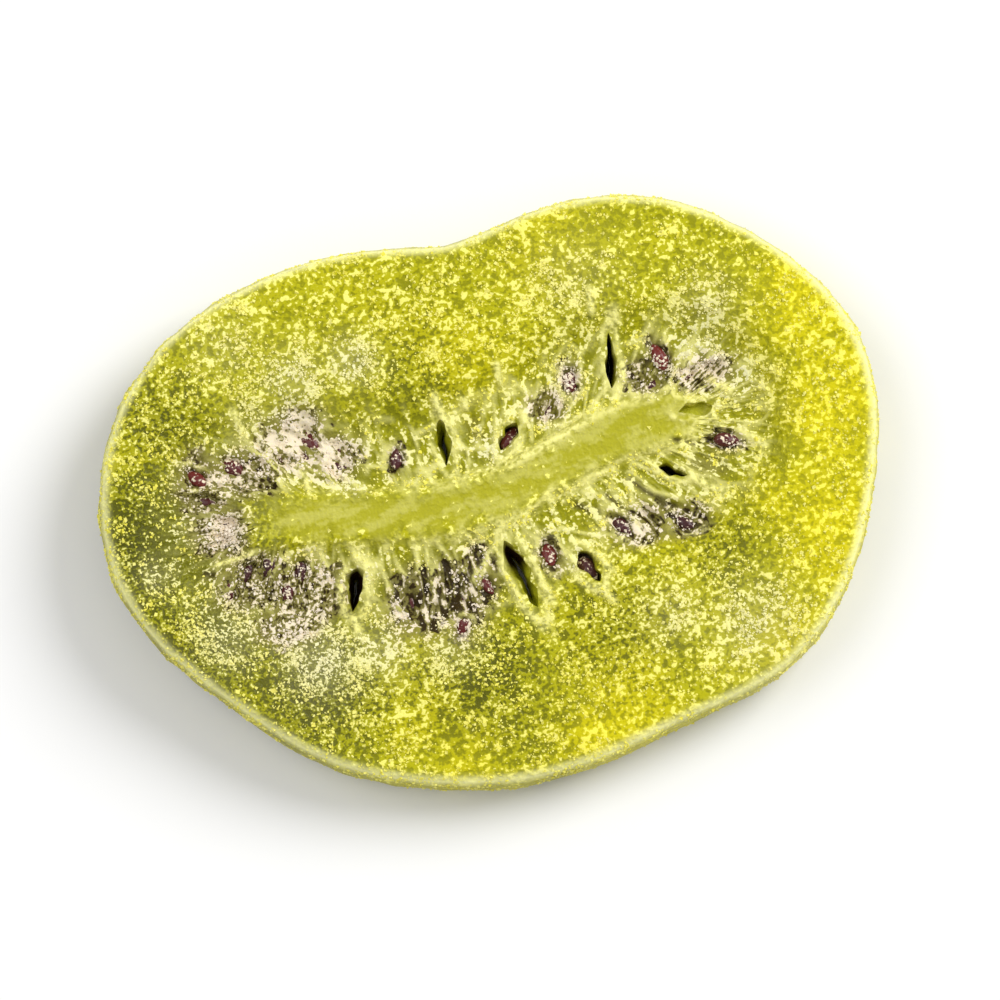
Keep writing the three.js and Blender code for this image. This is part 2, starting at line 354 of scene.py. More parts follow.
# Pale fibres that the splits and pits have laid bare: x, y, length, width, the way they point in degrees.
PALE_FIBRES = [
    (-2.2, 5.9, 2.4, 0.45, -85),
    (-0.5, 6.0, 0.8, 0.35, -90),
    (2.2, 7.3, 1.4, 0.35, -95),
    (9.4, 10.1, 1.8, 0.35, -101),
    (10.7, 8.8, 1.2, 0.40, -98),
    (10.1, 5.1, 1.6, 0.35, -104),
    (15.0, 0.3, 1.9, 0.35, -72),
    (13.2, -3.8, 2.9, 0.50, -44),
    (10.3, -1.6, 1.7, 0.35, -38),
    (17.2, -2.0, 1.4, 0.50, -51),
    (16.0, 2.2, 1.9, 0.50, -49),
    (13.4, 1.5, 1.3, 0.30, 34),
    (4.4, 2.0, 6.9, 0.60, 14),
    (3.3, -6.0, 2.0, 0.40, -66),
    (4.6, -8.7, 1.8, 0.35, -60),
    (5.2, -6.7, 1.8, 0.35, -66),
    (-1.0, -6.6, 3.4, 0.35, -80),
    (0.9, -6.6, 3.4, 0.35, -80),
    (-2.3, -4.4, 2.2, 0.35, 49),
    (-17.9, 0.5, 2.7, 0.30, 2),
    (-12.0, 4.4, 2.1, 0.35, -88),
    (-15.1, 9.0, 2.0, 0.35, -80),
    (-12.0, -3.8, 2.2, 0.40, -100),
    (-10.1, -2.9, 2.2, 0.50, -110),
    (-11.6, -6.0, 1.6, 0.45, -90),
]

# Dark threads of dried pulp, given in the same way.
DARK_THREADS = [
    (5.1, -2.9, 1.9, 0.50, -36),
    (7.0, -3.0, 1.6, 0.30, -60),
    (9.0, -2.7, 2.2, 0.35, -50),
    (10.3, -4.0, 1.8, 0.35, -45),
    (12.8, -0.7, 2.1, 0.30, -24),
    (-19.8, 0.0, 0.8, 0.50, -20),
    (-7.6, -5.6, 1.5, 0.22, -107),
    (-6.6, -5.2, 1.6, 0.22, -105),
    (-5.8, -5.6, 1.4, 0.22, -108),
    (-5.1, -5.0, 1.8, 0.24, -104),
    (-4.3, -5.7, 1.4, 0.22, -106),
    (-3.6, -5.0, 1.2, 0.22, -100),
    (-6.0, -7.2, 1.0, 0.26, -110),
]

# Smooth olive hollows where a seed has come away with its pulp, given in the same way.
OLIVE_HOLLOWS = [
    (13.6, -2.5, 2.6, 1.2, -28),
    (5.1, 4.8, 2.2, 1.1, 60),
    (11.9, 4.2, 1.6, 1.0, 70),
    (-0.4, 4.4, 1.4, 0.8, -85),
]

# Where the flesh is smooth, with little sugar on it: x, y, reach, strength.
BARE_SPOTS = [
    (-4.4, 7.0, 2.8, 1.0),
    (1.4, 6.8, 2.2, 0.8),
    (-8.0, -1.8, 1.6, 0.7),
    (12.6, -8.6, 2.2, 0.6),
    (18.4, -4.6, 2.6, 0.5),
    (2.0, 13.5, 2.4, 0.4),
]

# Where the pulp lies in strokes side by side and not in crumbs: x, y, reach, strength.
STROKED_PULP = [
    (-5.4, -5.6, 3.2, 1.0),
    (9.4, -3.8, 2.6, 0.9),
    (5.4, 3.8, 2.0, 0.7),
    (-10.4, 5.6, 1.8, 0.6),
    (15.4, 2.6, 2.2, 0.6),
]


def chamber_distance(x, y):
    """1 on the border of the nearest dark chamber, less inside it and more outside."""
    nearest = np.full_like(x, 9.0)
    for spot_x, spot_y, reach_x, reach_y in DARK_SPOTS:
        nearest = np.minimum(nearest, np.hypot((x - spot_x) / reach_x, (y - spot_y) / reach_y))
    return nearest


def dark_pulp(x, y):
    noted = np.zeros_like(x)
    for seed in NOTED_SEEDS:
        noted = np.maximum(noted, 0.85 * hump(seed_distance(x, y, seed), 0, 1.5))
    return np.maximum(noted, hump(chamber_distance(x, y), 0, 1.2))


def spread_of(spots, x, y):
    strongest = np.zeros_like(x)
    for spot_x, spot_y, spot_reach, strength in spots:
        away = np.hypot(x - spot_x, y - spot_y)
        strongest = np.maximum(strongest, strength * hump(away, 0, spot_reach))
    return strongest


def streaks(lines, x, y):
    strongest = np.zeros_like(x)
    for line_x, line_y, length, width, degrees in lines:
        along, aside = local_place(x, y, line_x, line_y, degrees)
        beyond = np.maximum(np.abs(along) - 0.35 * length, 0)
        strongest = np.maximum(strongest, hump(aside, 0, 0.6 * width) * hump(beyond, 0, 0.2 * length))
    return strongest


def split_distance(x, y, split, margin=0.0):
    """1 on the border of a split, less inside it and more outside."""
    split_x, split_y, split_length, split_width, degrees = split[:5]
    along, aside = local_place(x, y, split_x, split_y, degrees)
    return np.hypot(along / (split_length / 2 + margin), aside / (split_width / 2 + margin))


# Seeds that show most: x, y, the way they point, size, and how red they are. The others lie along rays
# from the core.
NOTED_SEEDS = [
    (12.7, 5.3, 100, 0.95, 0.9),
    (1.9, -5.1, -87, 0.95, 0.8),
    (-18.9, 6.4, 130, 0.80, 0.8),
    (-5.0, -8.2, -130, 0.70, 0.6),
    (-2.6, -5.8, -75, 0.70, 0.6),
    (-5.9, 3.9, 75, 0.70, 0.2),
    (6.6, 5.6, 80, 0.85, 0.4),
    (15.3, -1.3, -20, 0.85, 0.4),
    (7.0, -4.6, -60, 0.80, 0.2),
    (11.1, -5.8, -50, 0.70, 0.1),
]
PIT_SEEDS = [
    (1.7, 3.1, 43, 0.85, 0.5),
    (4.1, -6.7, -72, 0.90, 0.2),
]
SEED_SPACE = 1.5
SPLIT_SPACE = 2.1
SEEDS_FROM = 2.6
SEEDS_TO = 7.0
UPPER_RAYS = 150
LOWER_RAYS = 110
GOLDEN_PART = 0.618034
PLASTIC_PART = 0.754878


def ray_seeds(rays, turn, taken):
    seeds = []
    for i in range(rays):
        seed_ray = 2 * math.pi * (i + turn) / rays
        away = SEEDS_FROM + (SEEDS_TO - SEEDS_FROM) * (i * GOLDEN_PART % 1)
        start_x, start_y = core_point(seed_ray)
        end_x, end_y = outline_point(seed_ray)
        heading = math.atan2(end_y - start_y, end_x - start_x)
        seed_x = start_x + away * math.cos(heading)
        seed_y = start_y + away * math.sin(heading)
        lean = 40 * (i * PLASTIC_PART % 1 - 0.5)
        in_chamber = chamber_distance(np.float64(seed_x), np.float64(seed_y)) < 1
        others = [math.hypot(s[0] - seed_x, s[1] - seed_y) > SEED_SPACE for s in taken + seeds]
        splits = [math.hypot(s[0] - seed_x, s[1] - seed_y) > SPLIT_SPACE for s in SPLITS]
        if in_chamber and all(others) and all(splits):
            size = 0.7 + 0.25 * (i * PLASTIC_PART % 1)
            seeds.append((seed_x, seed_y, math.degrees(heading) + lean, size, 0.5 * (i * GOLDEN_PART % 1)))
    return seeds


upper_seeds = NOTED_SEEDS + ray_seeds(UPPER_RAYS, 0.5, NOTED_SEEDS)
lower_seeds = ray_seeds(LOWER_RAYS, 0.25, [])


def seed_distance(x, y, seed):
    """1 on the border of a seed, less inside it and more outside."""
    along, aside = local_place(x, y, *seed[:3])
    return np.hypot(along / 1.05, aside / 0.65) / seed[3]


def fibre_web(x, y):
    """Thin walls between the chambers, which run out from the core: 1 along their crests."""
    folds = wobble(ray_space(x, y, 3.0), 0.7)
    broken = smooth(wobble(ray_space(x, y, 1.5), 1.7), -0.3, 0.2)
    cells = ray_space(x, y, 1.9) / 1.7
    nearest = np.array([noise.voronoi(Vector(cell))[0][:2] for cell in cells])
    walls = 1 - smooth(nearest[:, 1] - nearest[:, 0], 0.02, 0.16)
    whole = smooth(wobble(np.stack([x, y, 0 * x], axis=1), 1.1), -0.45, 0.0)
    return np.maximum(0.6 * broken * (1 - smooth(np.abs(folds), 0.02, 0.24)), whole * walls)


def ragged_pulp(x, y):
    flat = np.stack([x, y, 0 * x], axis=1)
    torn = 0.45 * wobble(flat, 1.5) + 0.40 * wobble(ray_space(x, y, 3.0), 0.6) + 0.3 * wobble(flat, 0.5)
    near = dark_pulp(x, y)
    return smooth(near + torn, 0.25, 0.80) * smooth(near, 0.08, 0.30)


points = read_points(flesh.data)
normals = read_normals(flesh.data)
x, y, z = points.T
away = away_from_core(x, y)
pulp = ragged_pulp(x, y)
drift = spread_of(SUGAR_DRIFTS, x, y)
pale = streaks(PALE_FIBRES, x, y)
face_up = np.clip(normals[:, 2], 0, 1) ** 2
face_down = np.clip(-normals[:, 2], 0, 1) ** 2
wall = 1 - face_up - face_down

web = fibre_web(x, y)
chambers = smooth(away, 1.4, 2.6) * (1 - smooth(away, 6.0, 9.0))
on_core = 1 - smooth(away + 0.5 * wobble(points, 1.2), 1.0, 2.0)
crust = 0.65 * wobble(points, 0.85) + 0.35 * wobble(points, 0.48)
swell = 0.16 * wobble(points, 6.0) + 0.10 * wobble(points, 2.6)

relief = 0.10 * crust * (1 - 0.7 * on_core) * (0.8 + 0.9 * drift + 1.6 * pulp) + swell
relief += chambers * (web - 0.4) * (0.14 + 0.24 * pulp) - 0.22 * pulp
relief += 0.08 * hump(away, 1.5, 0.6) + 0.20 * pale
relief -= 0.12 * streaks(DARK_THREADS, x, y) + 0.16 * streaks(OLIVE_HOLLOWS, x, y)
for seed in upper_seeds:
    edge = seed_distance(x, y, seed)
    relief += 0.10 * hump(edge, 1.4, 0.3) - 0.18 * np.exp(-((edge / 0.95) ** 4))
for split in SPLITS:
    edge = split_distance(x, y, split, 0.1)
    relief += 0.10 * hump(edge, 1.3, 0.3)

under = 0.08 * np.abs(crust) + 0.12 * (1 - web) * chambers
for seed in lower_seeds:
    edge = seed_distance(x, y, seed)
    under += 0.25 * np.exp(-((edge / 0.95) ** 4))
wrinkles = 0.13 * wobble(points * (1, 1, 0.4), 1.9) + 0.05 * crust
amount = face_up * relief - face_down * under + wall * wrinkles
points += normals * amount[:, None]
points[:, 2] = np.maximum(points[:, 2], 0.0)
write_mask(flesh.data, "crust", crust)
write_points(flesh.data, points)

# Each split is a drum, pinched to a pointed oval, torn out of line, and cut out of the slice. It is widest at
# the upper face and narrows on the way down.
DRUM_SIDES = 44
DRUM_CUTS = 12
DRUM_BOTTOM = -1.0
DRUM_TOP = SLICE_THICKNESS + 2.0
NARROWEST = 0.15
NARROWEST_TO = 0.8
WIDEST_FROM = 3.8

cutters = []
for split in SPLITS:
    split_x, split_y, split_length, split_width, degrees, blind, lean, _ = split
    bpy.ops.object.select_all(action="DESELECT")
    bpy.ops.mesh.primitive_cylinder_add(vertices=DRUM_SIDES, radius=1, depth=2, end_fill_type="NGON")
    cutter = bpy.context.object
    bpy.ops.object.mode_set(mode="EDIT")
    drum = bmesh.from_edit_mesh(cutter.data)
    for edge in drum.edges:
        edge.select_set(abs(edge.verts[0].co.z - edge.verts[1].co.z) > 1)
    bmesh.update_edit_mesh(cutter.data)
    bpy.ops.mesh.subdivide(number_cuts=DRUM_CUTS)
    bpy.ops.object.mode_set(mode="OBJECT")
    drum_points = bare_points(cutter.data)
    drum_turn = np.arctan2(drum_points[:, 1], drum_points[:, 0])
    end_to_end = np.cos(drum_turn)
    girth = np.abs(np.sin(drum_turn)) ** 1.5 * (1 + lean * end_to_end)
    girth *= 1.05 - 0.30 * hump(end_to_end, -0.25 * np.sign(lean), 0.22)
    along = split_length / 2 * end_to_end
    aside = split_width / 2 * np.sign(np.sin(drum_turn)) * girth
    turn = math.radians(degrees)
    floor_height = upper_face(split_x, split_y) - blind if blind else DRUM_BOTTOM
    height = floor_height + (DRUM_TOP - floor_height) * (drum_points[:, 2] + 1) / 2
    torn = wobble(np.stack([along, np.sign(aside), 0.6 * height + split_x], axis=1), 0.8)
    bent = wobble(np.stack([along, 0 * along, 0.3 * height + split_y], axis=1), 1.6)
    taper = NARROWEST + (1 - NARROWEST) * smooth(height, NARROWEST_TO, WIDEST_FROM)
    along = along * (0.5 + 0.5 * taper)
    aside = aside * taper * (1 + 0.8 * torn) + 0.22 * bent
    drum_points[:, 0] = split_x + along * math.cos(turn) - aside * math.sin(turn)
    drum_points[:, 1] = split_y + along * math.sin(turn) + aside * math.cos(turn)
    drum_points[:, 2] = height
    write_points(cutter.data, drum_points)
    cutters.append(cutter)

bpy.ops.object.select_all(action="DESELECT")
for cutter in cutters:
    cutter.select_set(True)
bpy.context.view_layer.objects.active = cutters[0]
bpy.ops.object.join()
cutter = bpy.context.object

bpy.ops.object.select_all(action="DESELECT")
flesh.select_set(True)
bpy.context.view_layer.objects.active = flesh
cut = flesh.modifiers.new("splits", "BOOLEAN")
cut.operation = "DIFFERENCE"
cut.solver = "MANIFOLD"
cut.object = cutter
bpy.ops.object.modifier_apply(modifier=cut.name)
bpy.data.objects.remove(cutter)

# The many-sided faces that the cut leaves are split into triangles, and leftover flaps are taken away.
bpy.ops.object.mode_set(mode="EDIT")
bpy.ops.mesh.select_mode(type="FACE")
bpy.ops.mesh.select_all(action="DESELECT")
bpy.ops.mesh.select_face_by_sides(number=4, type="GREATER")
bpy.ops.mesh.quads_convert_to_tris(quad_method="BEAUTY", ngon_method="BEAUTY")
bpy.ops.mesh.select_all(action="DESELECT")
bpy.ops.mesh.select_mode(type="EDGE")
bpy.ops.mesh.select_non_manifold(use_verts=False)
bpy.ops.mesh.select_mode(type="FACE")
bpy.ops.mesh.delete(type="FACE")
bpy.ops.object.mode_set(mode="OBJECT")
bpy.ops.object.shade_smooth_by_angle(angle=math.radians(60))

# What the finish needs to know of each point: where it lies between the core, the chambers and the edge.
points = read_points(flesh.data)
normals = read_normals(flesh.data)
x, y, z = points.T
away = away_from_core(x, y)
from_edge = outline_radius(np.arctan2(y, x)) - np.hypot(x, y)
ragged = wobble(points, 0.9)
torn = wobble(points + 40, 1.1)
pale = streaks(PALE_FIBRES, x, y)
pale = np.maximum(pale, 0.7 * hump(away, 1.8 + 0.5 * ragged, 0.35) * smooth(x, -14, 4))
# Painted shade: a broken dark ring in the dimple round each noted seed, where shade falls.
seed_pit_shade = np.zeros_like(x)
for seed in NOTED_SEEDS:
    edge = seed_distance(x, y, seed)
    pale = np.maximum(pale, 0.6 * hump(edge, 1.5 + 0.5 * ragged, 0.35) * smooth(torn, -0.1, 0.4))
    seed_pit_shade = np.maximum(seed_pit_shade, np.exp(-((edge / 1.1) ** 4)) * smooth(torn, -0.4, 0.2))
deep = np.zeros_like(x)
split_painted_shade = np.zeros_like(x)
for split in SPLITS:
    split_x, split_y, split_length, _, degrees, _, _, shade_reach = split
    along, _ = local_place(x, y, split_x, split_y, degrees)
    edge = split_distance(x, y, split, 0.12)
    pale = np.maximum(pale, 0.9 * hump(edge, 1.35 + 0.3 * ragged, 0.25) * smooth(torn, -0.5, 0.2))
    inside = (edge < 1.5) * smooth(upper_face(x, y) - z, 0.25, 0.9) * smooth(z - lower_face(x, y), 0.2, 0.7)
    deep = np.maximum(deep, inside)
    # Painted shade: from its start, as far as its shade reach, each split's wall is painted near black.
    near_start = smooth(shade_reach - 0.5 - along / split_length, -0.1, 0.1)
    split_painted_shade = np.maximum(split_painted_shade, inside * near_start)
half_width = CORE_HALF_WIDTH + 0.5 * smooth(x, 2, 9) - 0.4 * smooth(-x, 12, 16)
core = 1 - smooth(away - half_width + 0.9 * ragged + 0.5 * wobble(points + 20, 0.45), -0.7, 0.8)
write_mask(flesh.data, "core", core * smooth(x + 1.2 * ragged, -17, -13))
web = fibre_web(x, y) * smooth(away, 1.3, 2.4) * (1 - smooth(away, 4.0, 8.5))
write_mask(flesh.data, "web", web * (1 - 0.7 * smooth(-x, 14, 17.5)))
write_mask(flesh.data, "chambers", smooth(away, 1.3, 2.6) * (1 - smooth(away, 4.5, 9.0)))
write_mask(flesh.data, "pulp", ragged_pulp(x, y))
write_mask(flesh.data, "threads", streaks(DARK_THREADS, x + 0.1 * ragged, y + 0.1 * torn))
write_mask(flesh.data, "hollows", streaks(OLIVE_HOLLOWS, x + 0.2 * ragged, y + 0.2 * torn))
write_mask(flesh.data, "stroked", spread_of(STROKED_PULP, x, y))
write_mask(flesh.data, "bare", spread_of(BARE_SPOTS, x, y))
write_mask(flesh.data, "stain", smooth(dark_pulp(x, y) + 0.15 * ragged, 0.05, 0.55))
write_mask(flesh.data, "drift", spread_of(SUGAR_DRIFTS, x, y))
write_mask(flesh.data, "golden_glow", spread_of(GOLDEN_GLOW_SPOTS, x, y))
write_mask(flesh.data, "unripe_and_shade", spread_of(UNRIPE_AND_SHADE_SPOTS, x, y))
write_mask(flesh.data, "rim", hump(from_edge, 0.35 + 0.1 * torn, 0.3) * smooth(normals[:, 2], 0.1, 0.5))
write_mask(flesh.data, "wall", 1 - smooth(np.abs(normals[:, 2]), 0.1, 0.5))
write_mask(flesh.data, "pale", pale)
write_mask(flesh.data, "seed_pit_shade", seed_pit_shade * smooth(normals[:, 2], 0.0, 0.4))
write_mask(flesh.data, "deep", deep)
write_mask(flesh.data, "split_painted_shade", split_painted_shade)
fibres = flesh.data.attributes.new("fibres", "FLOAT_VECTOR", "POINT")
fibres.data.foreach_set("vector", ray_space(x, y, 3.6).astype(np.float32).ravel())


def place(tree, kind, inputs=None, **settings):
    """A node in the tree, whose inputs are set to values or linked to other nodes' outputs."""
    node = tree.nodes.new(kind)
    for name, value in settings.items():
        setattr(node, name, value)
    for name, value in (inputs or {}).items():
        if isinstance(value, bpy.types.NodeSocket):
            tree.links.new(value, node.inputs[name])
        else:
            node.inputs[name].default_value = value
    return node


def sums(tree, operation, first, second):
    return place(tree, "ShaderNodeMath", {0: first, 1: second}, operation=operation).outputs[0]


def times(tree, first, second):
    return sums(tree, "MULTIPLY", first, second)


def plus(tree, first, second):
    return sums(tree, "ADD", first, second)


def less(tree, first, second):
    """The first value where the second is 0, fading to nothing where the second is 1."""
    return times(tree, first, sums(tree, "SUBTRACT", 1.0, second))


def blended(tree, share, first, second):
    made = place(tree, "ShaderNodeMix", {0: share, 6: first, 7: second}, data_type="RGBA")
    return made.outputs[2]


def crossed(tree, share, first, second):
    """The first number where the share is 0, the second where it is 1."""
    return place(tree, "ShaderNodeMix", {0: share, 2: first, 3: second}, data_type="FLOAT").outputs[0]


def between(tree, value, low, high, start=0.0, end=1.0):
    limits = {0: value, 1: low, 2: high, 3: start, 4: end}
    return place(tree, "ShaderNodeMapRange", limits, interpolation_type="SMOOTHSTEP").outputs[0]


def grain(tree, vector, size, detail=2.0, roughness=0.5):
    """Noise whose lumps are this many metres across."""
    settings = {"Vector": vector, "Scale": 1 / size, "Detail": detail, "Roughness": roughness}
    return place(tree, "ShaderNodeTexNoise", settings).outputs[0]


def mask_of(tree, name):
    return place(tree, "ShaderNodeAttribute", attribute_name=name).outputs["Fac"]


def new_material(name):
    made = bpy.data.materials.new(name)
    made.use_nodes = True
    return made, made.node_tree, made.node_tree.nodes["Principled BSDF"]


def frosting_group():
    """Sugar frosting: bright flecks, the dark gaps between them, and the height of both."""
    group = bpy.data.node_groups.new("frosting", "ShaderNodeTree")
    face = group.interface
    face.new_socket("Vector", in_out="INPUT", socket_type="NodeSocketVector")
    for name in ("Density", "Fineness", "Powder"):
        face.new_socket(name, in_out="INPUT", socket_type="NodeSocketFloat")
    for name in ("Flecks", "Gaps", "Height"):
        face.new_socket(name, in_out="OUTPUT", socket_type="NodeSocketFloat")
    given = group.nodes.new("NodeGroupInput")
    levels = []
    for size in (0.58, 0.30, 0.17):
        scale = sums(group, "DIVIDE", given.outputs["Fineness"], size * MM)
        settings = {"Vector": given.outputs["Vector"], "Scale": scale, "Detail": 1.0, "Roughness": 0.5}
        levels.append(place(group, "ShaderNodeTexNoise", settings).outputs[0])
    lumps = crossed(group, given.outputs["Powder"], levels[0], levels[1])
    crumbs = crossed(group, given.outputs["Powder"], levels[1], levels[2])
    height = plus(group, times(group, lumps, 0.45), times(group, crumbs, 0.55))
    level = plus(group, height, given.outputs["Density"])
    taken = group.nodes.new("NodeGroupOutput")
    group.links.new(between(group, level, 0.545, 0.605), taken.inputs["Flecks"])
    group.links.new(between(group, level, 0.50, 0.40), taken.inputs["Gaps"])
    group.links.new(height, taken.inputs["Height"])
    return group


frosting = frosting_group()


def frosted(tree, vector, density, fineness, powder):
    made = place(tree, "ShaderNodeGroup", node_tree=frosting)
    tree.links.new(vector, made.inputs["Vector"])
    for name, value in (("Density", density), ("Fineness", fineness), ("Powder", powder)):
        if isinstance(value, bpy.types.NodeSocket):
            tree.links.new(value, made.inputs[name])
        else:
            made.inputs[name].default_value = value
    return made.outputs["Flecks"], made.outputs["Gaps"], made.outputs["Height"]


OLIVE = (0.210, 0.210, 0.003, 1)
DEEP_OLIVE = (0.100, 0.105, 0.004, 1)
GAP_OLIVE = (0.050, 0.050, 0.004, 1)
SHADED_FLECK = (0.700, 0.680, 0.240, 1)
LEAF_YELLOW = (0.470, 0.450, 0.005, 1)
GOLDEN_YELLOW = (0.640, 0.570, 0.003, 1)
CORE_GREEN = (0.440, 0.420, 0.022, 1)
CORE_PALE = (0.560, 0.535, 0.095, 1)
WALL_GOLD = (0.520, 0.470, 0.006, 1)
CREAM = (0.920, 0.870, 0.300, 1)
FLECK_YELLOW = (0.930, 0.880, 0.190, 1)
FLECK_GOLDEN = (0.970, 0.860, 0.050, 1)
FROST = (0.850, 0.810, 0.430, 1)
VEIL = (0.360, 0.340, 0.140, 1)
RIM_CREAM = (0.950, 0.920, 0.400, 1)
PULP_OLIVE = (0.210, 0.185, 0.045, 1)
PULP_DARK = (0.035, 0.022, 0.005, 1)
PULP_FROST = (0.860, 0.750, 0.540, 1)
HOLLOW_OLIVE = (0.200, 0.180, 0.020, 1)
# Near black, painted as shade inside the splits where little light gets in.
SPLIT_PAINTED_SHADE = (0.030, 0.013, 0.006, 1)
SPLIT_GREEN = (0.560, 0.560, 0.030, 1)

flesh_finish, tree, shader = new_material("dried_flesh")
where = place(tree, "ShaderNodeTexCoord").outputs["Object"]
fibre_place = place(tree, "ShaderNodeAttribute", attribute_name="fibres").outputs["Vector"]
broad = grain(tree, where, 7 * MM, 2)
middling = grain(tree, where, 1.8 * MM, 2)
strokes = grain(tree, fibre_place, 0.34, 1.5)
golden_glow = mask_of(tree, "golden_glow")
unripe_and_shade = mask_of(tree, "unripe_and_shade")
drift = mask_of(tree, "drift")
stain = mask_of(tree, "stain")
web = mask_of(tree, "web")
core = mask_of(tree, "core")

chambers = mask_of(tree, "chambers")
patchy = between(tree, middling, 0.35, 0.65, -0.025, 0.025)
patchy = plus(tree, patchy, between(tree, broad, 0.4, 0.62, -0.02, 0.02))
crusty = times(tree, mask_of(tree, "crust"), 0.06)
along_fibres = times(tree, between(tree, strokes, 0.35, 0.65, -0.07, 0.07), chambers)
density = plus(tree, plus(tree, patchy, crusty), plus(tree, times(tree, drift, 0.055), along_fibres))
wall = mask_of(tree, "wall")
bare = plus(tree, times(tree, core, 3.6), plus(tree, times(tree, wall, 1.8), unripe_and_shade))
bare = plus(tree, plus(tree, bare, stain), mask_of(tree, "bare"))
density = plus(tree, density, times(tree, bare, -0.035))
flecks, gaps, height = frosted(tree, where, density, 1.0, unripe_and_shade)

# Painted light: the golden spots brighten the flesh as if lit through its thin right and lower ends, mixed
# with riper flesh and random tone.
glow_and_ripeness = plus(tree, golden_glow, between(tree, broad, 0.4, 0.65, -0.25, 0.3))
colour = blended(tree, between(tree, glow_and_ripeness, 0.0, 1.0), LEAF_YELLOW, GOLDEN_YELLOW)
# Darker olive, with darker gaps, where the flesh is greener and where painted shade darkens the left end.
shaded = blended(tree, unripe_and_shade, OLIVE, DEEP_OLIVE)
olive_share = plus(tree, times(tree, gaps, 0.7), times(tree, unripe_and_shade, 0.85))
colour = blended(tree, less(tree, olive_share, times(tree, golden_glow, 0.4)), colour, shaded)
colour = blended(tree, times(tree, gaps, times(tree, unripe_and_shade, 0.8)), colour, GAP_OLIVE)
colour = blended(tree, times(tree, wall, between(tree, middling, 0.3, 0.7, 0.35, 0.75)), colour, WALL_GOLD)
colour = blended(tree, times(tree, drift, 0.45), colour, VEIL)
colour = blended(tree, times(tree, chambers, 0.6), colour, OLIVE)
lengthwise = place(tree, "ShaderNodeMapping", {"Vector": where, "Scale": (0.3, 1.0, 1.0)}).outputs[0]
core_streaks = plus(tree, grain(tree, lengthwise, 0.9 * MM), times(tree, height, 0.7))
core_colour = blended(tree, between(tree, core_streaks, 0.74, 0.98), CORE_GREEN, CORE_PALE)
colour = blended(tree, times(tree, core, 0.9), colour, core_colour)
colour = blended(tree, times(tree, stain, 0.75), colour, PULP_OLIVE)
colour = blended(tree, times(tree, web, 0.7), colour, CREAM)

crumbs = plus(tree, 0.15, plus(tree, times(tree, strokes, 0.2), times(tree, height, 0.9)))
side_by_side = plus(tree, -0.02, plus(tree, times(tree, strokes, 1.0), times(tree, height, 0.4)))
pulp_level = crossed(tree, mask_of(tree, "stroked"), crumbs, side_by_side)
pulp_level = plus(tree, pulp_level, times(tree, drift, 0.12))
pulp_colour = blended(tree, between(tree, pulp_level, 0.70, 0.62), PULP_OLIVE, PULP_DARK)
pulp_colour = blended(tree, between(tree, pulp_level, 0.73, 0.80), pulp_colour, PULP_FROST)
pulp_edge = plus(tree, mask_of(tree, "pulp"), between(tree, height, 0.3, 0.7, 0.25, -0.25))
colour = blended(tree, between(tree, pulp_edge, 0.25, 0.6), colour, pulp_colour)
colour = blended(tree, times(tree, mask_of(tree, "hollows"), 0.8), colour, HOLLOW_OLIVE)
# Threads of dark pulp, and the painted shade round the noted seeds, both in near black.
dark_lines = plus(tree, times(tree, mask_of(tree, "threads"), 0.85), times(tree, mask_of(tree, "seed_pit_shade"), 0.8))
colour = blended(tree, dark_lines, colour, PULP_DARK)

fleck_colour = blended(tree, golden_glow, FLECK_YELLOW, FLECK_GOLDEN)
# Flecks are dimmed where the flesh is greener and where shade is painted on the left end.
fleck_colour = blended(tree, times(tree, unripe_and_shade, 0.8), fleck_colour, SHADED_FLECK)
fleck_colour = blended(tree, plus(tree, drift, times(tree, chambers, 0.6)), fleck_colour, FROST)
fleck_colour = blended(tree, stain, fleck_colour, PULP_FROST)
colour = blended(tree, flecks, colour, fleck_colour)
pale_share = times(tree, mask_of(tree, "pale"), between(tree, height, 0.36, 0.54, 0.3, 1.0))
colour = blended(tree, pale_share, colour, CREAM)
colour = blended(tree, times(tree, mask_of(tree, "rim"), 0.9), colour, RIM_CREAM)
# Split walls are olive green, with painted shade in near black from the start of each split.
split_colour = blended(tree, mask_of(tree, "split_painted_shade"), SPLIT_GREEN, SPLIT_PAINTED_SHADE)
colour = blended(tree, mask_of(tree, "deep"), colour, split_colour)
tree.links.new(colour, shader.inputs["Base Color"])

tree.links.new(between(tree, flecks, 0, 1, 0.38, 0.62), shader.inputs["Roughness"])
bump = place(tree, "ShaderNodeBump", {"Strength": 0.7, "Distance": 0.3 * MM, "Height": height})
tree.links.new(bump.outputs[0], shader.inputs["Normal"])
shader.inputs["Specular IOR Level"].default_value = 0.12
shader.inputs["Subsurface Weight"].default_value = 0.12
shader.inputs["Subsurface Radius"].default_value = (1.0, 0.9, 0.12)
shader.inputs["Subsurface Scale"].default_value = 1.6 * MM
flesh.data.materials.clear()
flesh.data.materials.append(flesh_finish)

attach(flesh, "root")
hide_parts("kiwi_slice")


# ---- The seeds -------------------------------------------------------------------------------------------
# Small hard seeds, dark violet to maroon, each lying in a dimple of its own chamber with its point inwards.
# One seed is modelled from a ball and copied, sunk more or less deep, and the copies are joined.

SEED_LENGTH = 2.1
SEED_WIDTH = 1.25
SEED_THICKNESS = 1.0
SEED_TILT = 0.35
# How far the middle of a seed stands above the flesh: less than nothing where it is sunk.
SUNK_MOST = -0.48
SUNK_LEAST = -0.25
NOTED_SHOWING = 0.05
PIT_SHOWING = 0.40

